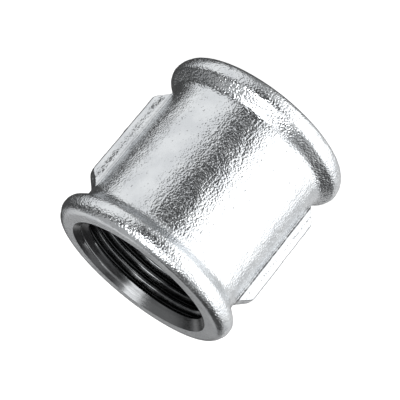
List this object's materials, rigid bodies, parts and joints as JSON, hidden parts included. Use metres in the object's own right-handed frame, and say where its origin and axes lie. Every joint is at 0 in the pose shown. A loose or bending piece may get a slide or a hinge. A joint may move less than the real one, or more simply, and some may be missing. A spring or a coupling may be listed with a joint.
{
  "type": "pipe socket",
  "caption": "Banded cylindrical pipe socket cast in one piece, with a rounded bead at each mouth, two wrench ribs and a through parallel thread that joins two pipes.",
  "frame": {"origin": "centre of the lower end face, on the bore's axis", "axes": "+Z along the bore's axis towards the upper end face; the two wrench ribs stand out along +X and -X"},
  "size_m": [0.0448, 0.0448, 0.045],
  "materials": {
    "galvanised_iron": "hot-dip galvanised: bright, slightly grainy zinc over an as-cast surface, with a darker cut thread"
  },
  "bodies": {
    "root": {"socket_body": "galvanised_iron"}
  },
  "joints": []
}
